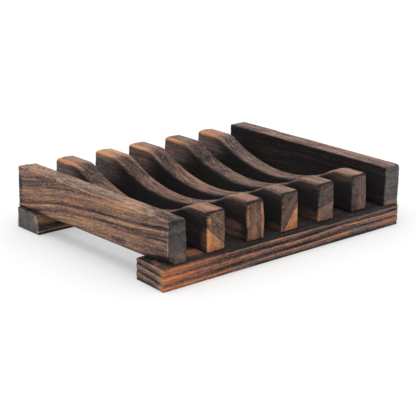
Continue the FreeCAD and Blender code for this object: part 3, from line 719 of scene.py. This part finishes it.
WOODS = {
    "front_rail": Wood(
        grain=X, tilt=5.0, pith=200.0, drift=0.012, wander=0.9, jag=0.25,
        relief=0.35, end_relief=0.5, rounding=0.3, fading=0.35, streaks=0.85, flecks=0.55,
        brads=brad_places(), seats=RAIL_SEATS, reach=(0.0, 0.8), deeper=2.0,
        bands=(
            (3.8, 0.5, 0.46), (2.9, 0.35, 0.25), (2.0, 1.0, -0.26), (1.0, 0.6, 0.5), (0.1, 0.4, 0.3),
            (-0.9, 1.0, -0.26), (-2.0, 0.6, 0.5), (-2.9, 0.35, 0.25), (-3.9, 1.0, -0.26), (-5.2, 0.5, 0.3),
        ),
        tones={"top": -0.01, "bottom": 0.25, "front": 0.34, "rear": 0.25, "left": 0.38, "right": 0.32},
        hue={"front": 1.0, "top": 1.0, "left": 0.3, "right": 0.6, "rear": 0.8},
        figure={"top": 0.2, "left": 0.8, "right": 0.7}, fibres={"front": 1.2, "left": 0.6},
        ash_and_sheen={"front": 0.5, "left": 0.4, "right": 0.5, "top": 0.3},
        worn=(("front top", 0.5, 0.0, 0.25), ("left front", 0.6, 0.0, 1.0), ("front bottom", -0.3, 0.0, 1.0)),
        patches=(
            # Lighter wood on the front towards the left end, towards the right end and low at the right end
            ((0.0, 0.0, 0.5), (50.0, 4.0, 12.0), 0.26, -0.7),
            ((1.0, 0.0, 0.5), (60.0, 4.0, 12.0), 0.11, 0.2),
            ((1.0, 0.0, 0.28), (24.0, 4.0, 1.7), 0.22, -0.4),
            # Bare wood on top, between the left end bar and the first slat
            ((0.16, 0.5, 1.0), (9.0, 5.0, 3.0), 0.6, -0.6),
            # Pale splinters on top beside the left end bar, and browner wood around them
            ((0.026, 0.5, 1.0), (1.7, 0.8, 1.0), 0.7, 0.6),
            ((0.02, 0.4, 1.0), (2.2, 0.6, 1.0), 0.4, 0.5),
            ((0.03, 0.6, 1.0), (1.9, 0.7, 1.0), 0.65, 0.6),
            ((0.02, 0.3, 1.0), (5.5, 6.0, 1.0), 0.3, 0.0),
        ),
    ),
    "rear_rail": Wood(
        grain=X, tilt=78.0, relief=0.15, end_relief=0.3, rounding=0.3, brads=brad_places(), seats=RAIL_SEATS,
        bands=((-5.0, 0.6, -0.15), (-2.4, 0.5, 0.1), (-0.3, 0.7, -0.15), (2.0, 0.5, 0.1), (4.4, 0.7, -0.15)),
        tones={"top": 0.1, "bottom": 0.25, "front": 0.15, "rear": 0.4, "left": 0.46, "right": 0.4},
        fibres={"left": 0.6, "right": 0.6}, ash_and_sheen={"left": 1.0, "right": 0.8, "top": 0.4},
        worn=(("front bottom", 0.8, 0.0, 1.0), ("rear top", 0.8, 0.2, 0.9)),
        patches=(
            # Bare wood on the wane at the left end, and a pale line low on the front
            ((0.04, 0.1, 0.75), (8.0, 4.0, 4.0), 0.5, 0.0),
            ((0.05, 0.0, 0.16), (60.0, 1.5, 0.5), 0.45, 0.0),
        ),
    ),
    "left_end_bar": Wood(
        grain=Y, tilt=5.0, drift=-0.085, sweep=(3.0, 0.64), jag=0.2, rounding=0.42, fading=0.3, flecks=0.6,
        soft=(("right top", 1.4),),
        bands=(
            (6.6, 1.6, 0.12), (5.5, 1.1, -0.24), (4.2, 0.7, 0.22), (2.6, 1.1, -0.26), (1.3, 0.5, -0.14),
            (-0.6, 1.4, 0.1), (-2.2, 0.6, -0.14), (-4.6, 0.8, -0.1), (9.6, 1.8, 0.22),
        ),
        tones={"left": 0.52, "right": -0.05, "top": 0.62, "bottom": 0.2, "front": 0.34, "rear": 0.37},
        hue={"left": 0.15, "top": 0.3},
        figure={"top": 0.5, "front": 0.3, "right": 0.3}, fibres={"top": 1.4, "front": 0.55, "right": 0.8},
        ash_and_sheen={"front": 0.9, "rear": 0.9, "top": 0.42, "right": 0.3},
        worn=(
            ("left top", 0.6, 0.0, 0.45), ("left top", 1.15, 0.45, 1.0),
            ("left rear", -0.8, 0.0, 1.0), ("left front", 0.78, 0.0, 1.0),
        ),
        patches=(
            # Outer side: ash in front, lighter wood along the foot with a dark spot in it, ash at the rear
            ((0.0, 0.02, 0.65), (3.0, 18.0, 8.0), -0.08, 0.35),
            ((0.0, 0.55, 0.15), (3.0, 45.0, 6.0), 0.08, 0.0),
            ((0.0, 0.3, 0.17), (2.5, 6.0, 2.2), -0.2, 0.2),
            ((0.0, 1.0, 0.45), (3.0, 3.5, 9.0), -0.3, 0.8),
            ((0.0, 0.92, 0.85), (3.0, 20.0, 8.0), 0.0, 0.2),
            # Darker top at the front, painted shade on the wane at the front, and browner wood at the foot of
            # the front end
            ((0.5, 0.05, 1.0), (7.0, 20.0, 3.0), -0.28, -0.2),
            ((0.15, 0.03, 0.1), (3.0, 9.0, 2.6), -0.25, 0.3),
            ((0.5, 0.0, 0.1), (6.0, 3.0, 6.0), 0.14, -0.5),
        ),
    ),
    "right_end_bar": Wood(
        grain=Y, tilt=-8.0, drift=0.03, sweep=(4.0, 0.4), chips=0.8, rounding=0.6,
        bands=((6.0, 0.8, -0.2), (3.4, 0.7, -0.25), (1.4, 0.9, 0.15), (-0.8, 0.9, -0.25), (-3.6, 0.8, -0.2)),
        tones={"left": -0.01, "right": 0.52, "top": 0.5, "bottom": 0.2, "front": 0.44, "rear": 0.42},
        hue={"top": 0.6},
        figure={"top": 0.6, "front": 0.3, "left": 0.3}, fibres={"top": 1.5, "left": 0.8, "front": 0.6},
        ash_and_sheen={"front": 0.9, "rear": 0.9, "top": 0.3, "left": 0.3},
        worn=(("right top", 0.9, 0.1, 0.8), ("right front", 0.5, 0.0, 1.0), ("right rear", 0.8, 0.0, 1.0)),
        patches=(
            # Browner wood at the foot of the front end
            ((0.5, 0.0, 0.05), (6.0, 3.0, 1.8), 0.22, -0.6),
        ),
    ),
    "slat_1": slat_wood(
        tilt=-40.0, pith=200.0, wander=0.4, jag=0.25, rounding=0.75, foot=0.9, bare=(-1.9, 0.38),
        soft=(("right top", 1.3), ("left top", 1.4)),
        bands=((-1.8, 0.35, 0.22), (0.2, 0.5, -0.1), (1.7, 0.5, -0.12), (3.4, 0.5, 0.1), (5.0, 0.6, -0.12)),
        tones={"front": 0.45}, hue={"front": 0.45},
        worn=(
            ("left top", 1.3, REAR_STRETCH, 1.0), ("left rear", 0.5, 0.0, 1.0),
            ("left front", 0.5, 0.0, 1.0), ("front top", -1.0, 0.0, 1.0),
        ),
        patches=(
            # Painted bounced light low on the left side in front, a bare spot on the front end, and a painted
            # sheen on the rear flat
            ((0.0, 0.01, 0.3), (2.0, 4.0, 6.0), 0.4, 0.0),
            ((0.1, 0.0, 0.78), (1.1, 2.0, 1.6), 0.45, -0.2),
            ((0.7, 0.96, 1.0), (9.0, 18.0, 5.0), 0.08, 0.1),
        ),
    ),
    "slat_2": slat_wood(
        tilt=-88.0, pith=200.0, wander=0.4, jag=0.25, rounding=0.9, foot=0.5,
        soft=(("right top", 1.9), ("left top", 1.4)),
        bands=((-3.9, 0.5, 0.1), (-2.9, 0.8, -0.1), (-0.6, 0.8, 0.16), (1.2, 0.8, -0.08), (3.0, 1.0, 0.45)),
        hue={"front": 0.6, "left": 0.9},
        worn=(
            ("left top", 0.55, REAR_STRETCH, 1.0),
            ("left front", 0.4, 0.0, 1.0), ("front top", -1.0, 0.0, 1.0),
        ),
        patches=(
            # Front end: a bare left arris, lighter wood at the foot and char at the top
            ((0.0, 0.0, 0.62), (1.0, 1.7, 5.5), 0.5, 0.0),
            ((0.4, 0.0, 0.15), (3.0, 2.0, 5.0), 0.12, 0.0),
            ((0.5, 0.0, 1.0), (6.0, 2.0, 3.0), -0.15, 0.3),
            # Painted bounced light low on the left side in front, a painted sheen on the rear flat, and
            # painted sheen with ash on the rear of the left side
            ((0.0, 0.09, 0.22), (1.5, 9.0, 5.5), 0.55, 0.0),
            ((0.7, 0.96, 1.0), (9.0, 18.0, 5.0), 0.16, 0.35),
            ((0.0, 0.95, 0.7), (1.5, 16.0, 9.0), 0.03, 0.25),
        ),
    ),
    "slat_3": slat_wood(
        tilt=52.0, pith=120.0, wander=0.5, rounding=0.75, foot=0.8, bare=(-2.0, 0.36),
        soft=(("right top", 1.3), ("left top", 1.4)),
        bands=((-1.9, 0.6, 0.2), (-0.5, 0.9, -0.12), (1.2, 0.6, 0.08), (3.2, 0.8, -0.12), (5.0, 0.6, -0.12)),
        tones={"front": 0.44},
        worn=(("left top", 0.7, REAR_STRETCH, 1.0), ("front top", -0.8, 0.0, 1.0)),
        patches=(
            # Painted bounced light low on the left side in front, and ash at the top of the front end
            ((0.0, 0.04, 0.05), (2.0, 8.0, 3.5), 0.4, 0.0),
            ((0.5, 0.0, 0.9), (6.0, 2.0, 4.0), -0.06, 0.5),
        ),
    ),
    "slat_4": slat_wood(
        tilt=9.0, pith=120.0, wander=0.5, rounding=0.9, foot=0.5, bare=(-1.5, 0.22),
        soft=(("right top", 1.4), ("left top", 1.6)),
        bands=((-1.4, 0.35, 0.2), (0.6, 0.6, -0.1), (2.6, 0.6, -0.1), (4.8, 0.5, 0.08)),
        # Ash on the front end, and on top a painted grey sheen
        tones={"front": 0.37, "top": 0.58}, hue={"front": 0.7}, ash_and_sheen={"front": 0.5, "top": 0.3},
        worn=(
            ("left top", 0.6, REAR_STRETCH, 1.0),
            ("left front", 0.2, 0.0, 1.0), ("front top", -0.8, 0.0, 1.0),
        ),
        patches=(
            # Painted bounced light low on the left side in front
            ((0.0, 0.05, 0.1), (2.0, 9.0, 4.0), 0.4, 0.0),
        ),
    ),
    "slat_5": slat_wood(
        tilt=-86.0, pith=200.0, wander=0.4, jag=0.25, rounding=0.9, foot=1.1,
        soft=(("right top", 1.9), ("left top", 1.6)),
        bands=((-2.4, 2.2, -0.1), (-0.7, 0.5, -0.15), (0.5, 0.7, 0.14), (2.2, 1.6, 0.06)),
        # Ash on the front end, and on top a painted grey sheen
        tones={"front": 0.41, "top": 0.71}, hue={"front": 0.8}, ash_and_sheen={"front": 0.4, "top": 0.55},
        worn=(
            ("left top", 0.8, REAR_STRETCH, 1.0),
            ("left front", 0.2, 0.0, 1.0), ("front top", -0.8, 0.0, 1.0),
        ),
        patches=(
            # Front end: ash on the right and a lighter streak at the foot
            ((0.8, 0.0, 0.5), (3.0, 2.0, 9.0), 0.04, 0.3),
            ((0.52, 0.0, 0.2), (1.5, 2.0, 5.0), 0.13, -0.4),
        ),
    ),
}
SHAPES = {
    "front_rail": skew_left_end,
    "rear_rail": round_front_top,
    "left_end_bar": cut_lower_corner,
    "right_end_bar": drop_outer_foot,
}

for number, (node, wood) in enumerate(WOODS.items(), start=1):
    wooden_piece(node, wood, number, SHAPES.get(node), node.startswith("slat"))

steel = steel_material()
for node in ("front_brads", "rear_brads"):
    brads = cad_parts[node]
    brads.data.materials.clear()
    brads.data.materials.append(steel)


# Floor, light and camera
FLOOR_SIZE = 6.0
FLOOR_COLOURS = ((0.94, 0.94, 0.94, 1.0), (0.96, 0.96, 0.96, 1.0))
FLOOR_CELLS = (300.0, 300.0, 300.0)
WHITE = (1.0, 1.0, 1.0, 1.0)
# How far the floor's shadows are lifted towards the white of the background
SHADOW_LIFT = 0.25
WORLD_LIGHT = 0.92
SUN_LIGHT = 0.7
SUN_ELEVATION = 84.0
SUN_AZIMUTH = -60.0
SUN_SOFTNESS = 45.0


def seen_directly(tree):
    """1 for rays from the camera, also by way of a reflection or through glass, and 0 for other light."""
    path = tree.nodes.new("ShaderNodeLightPath")
    seen = path.outputs["Is Camera Ray"]
    for ray in ("Is Glossy Ray", "Is Transmission Ray"):
        either = tree.nodes.new("ShaderNodeMath")
        either.operation = "MAXIMUM"
        tree.links.new(seen, either.inputs[0])
        tree.links.new(path.outputs[ray], either.inputs[1])
        seen = either.outputs[0]
    return seen


def make_floor():
    """A plain white floor that takes the object's shadow, as pale as it falls on a white sheet."""
    shader = Shader("floor_white")
    grain = shader.noise(shader.own_place(), FLOOR_CELLS, 0.0, 2.0)
    colour = shader.mix(grain, *FLOOR_COLOURS)
    matt = {"Base Color": colour, "Roughness": 0.9, "Specular IOR Level": 0.0}
    paper = shader.node("ShaderNodeBsdfPrincipled", matt)
    white = shader.node("ShaderNodeEmission", {"Color": WHITE, "Strength": 1.0})
    lifted = shader.math("MULTIPLY", seen_directly(shader.tree), SHADOW_LIFT)
    both = shader.node("ShaderNodeMixShader", {0: lifted, 1: paper.outputs[0], 2: white.outputs[0]})
    shader.node("ShaderNodeOutputMaterial", {"Surface": both.outputs[0]})
    half = FLOOR_SIZE / 2.0
    mesh = bpy.data.meshes.new("floor")
    corners = [(-half, -half, 0.0), (half, -half, 0.0), (half, half, 0.0), (-half, half, 0.0)]
    mesh.from_pydata(corners, [], [(0, 1, 2, 3)])
    mesh.materials.append(shader.material)
    floor = bpy.data.objects.new("floor", mesh)
    bpy.context.scene.collection.objects.link(floor)


def make_world():
    """Even white light from all round, on a background that the camera sees as white."""
    world = bpy.data.worlds.new("studio")
    world.use_nodes = True
    tree = world.node_tree
    tree.nodes.clear()
    strength = tree.nodes.new("ShaderNodeMapRange")
    strength.inputs["To Min"].default_value = WORLD_LIGHT
    tree.links.new(seen_directly(tree), strength.inputs["Value"])
    background = tree.nodes.new("ShaderNodeBackground")
    background.inputs["Color"].default_value = WHITE
    tree.links.new(strength.outputs[0], background.inputs["Strength"])
    output = tree.nodes.new("ShaderNodeOutputWorld")
    tree.links.new(background.outputs[0], output.inputs[0])
    bpy.context.scene.world = world


def make_sun():
    """One broad soft light from above, a little from the left."""
    light = bpy.data.lights.new("sky_panel", "SUN")
    light.energy = SUN_LIGHT
    light.angle = math.radians(SUN_SOFTNESS)
    lamp = bpy.data.objects.new("sky_panel", light)
    azimuth = math.radians(SUN_AZIMUTH)
    elevation = math.radians(SUN_ELEVATION)
    level = math.cos(elevation)
    towards = Vector((math.sin(azimuth) * level, -math.cos(azimuth) * level, math.sin(elevation)))
    lamp.rotation_euler = towards.to_track_quat("Z", "Y").to_euler()
    bpy.context.scene.collection.objects.link(lamp)


CAMERA_TARGET = Vector((-0.01759, -0.02031, 0.0150))
CAMERA_DISTANCE = 0.48192
CAMERA_HEADING = 42.1
CAMERA_PITCH = 17.4
CAMERA_ROLL = 1.18
CAMERA_LENS = 111.41
CAMERA_SENSOR = 36.0
CAMERA_NEAREST = 0.01


def make_camera():
    """The photograph's view: from the front left, a little above."""
    heading = math.radians(CAMERA_HEADING)
    pitch = math.radians(CAMERA_PITCH)
    roll = math.radians(CAMERA_ROLL)
    flat = math.cos(pitch)
    forward = Vector((math.sin(heading) * flat, math.cos(heading) * flat, -math.sin(pitch)))
    level = forward.cross(Vector((0.0, 0.0, 1.0))).normalized()
    upright = level.cross(forward)
    right = level * math.cos(roll) + upright * math.sin(roll)
    up = upright * math.cos(roll) - level * math.sin(roll)
    data = bpy.data.cameras.new("photo_view")
    data.lens = CAMERA_LENS
    data.sensor_width = CAMERA_SENSOR
    data.clip_start = CAMERA_NEAREST
    camera = bpy.data.objects.new("photo_view", data)
    turn = Matrix((right, up, -forward)).transposed()
    camera.matrix_world = Matrix.Translation(CAMERA_TARGET - forward * CAMERA_DISTANCE) @ turn.to_4x4()
    bpy.context.scene.collection.objects.link(camera)
    bpy.context.scene.camera = camera


make_floor()
make_world()
make_sun()
make_camera()
bpy.context.scene.view_settings.view_transform = "Standard"
